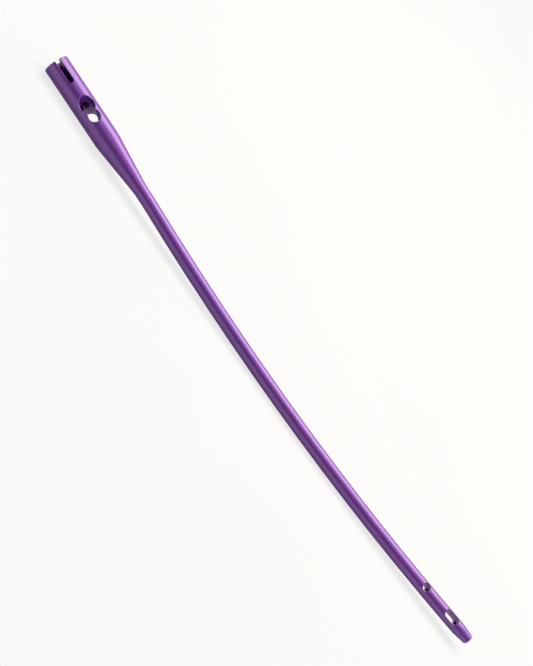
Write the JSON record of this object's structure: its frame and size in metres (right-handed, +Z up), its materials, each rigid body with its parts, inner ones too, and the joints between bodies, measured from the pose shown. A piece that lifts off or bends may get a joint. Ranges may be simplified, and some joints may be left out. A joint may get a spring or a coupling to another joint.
{
  "type": "intramedullary nail",
  "caption": "Long bowed nail for the thigh bone's marrow canal, hollow for a guide wire, with a thick slotted head, an oblique hole for hip screws and locking holes at the tip.",
  "frame": {"origin": "middle of the bounding box's base, on the surface the nail lies on", "axes": "+X from the head's end towards the tip, +Z up as the nail lies at rest, -Y to the side that the bow bulges towards"},
  "size_m": [0.4398, 0.0246, 0.0167],
  "materials": {
    "anodised_titanium": "satin violet anodised titanium alloy"
  },
  "bodies": {
    "root": {"nail": "anodised_titanium"}
  },
  "joints": []
}
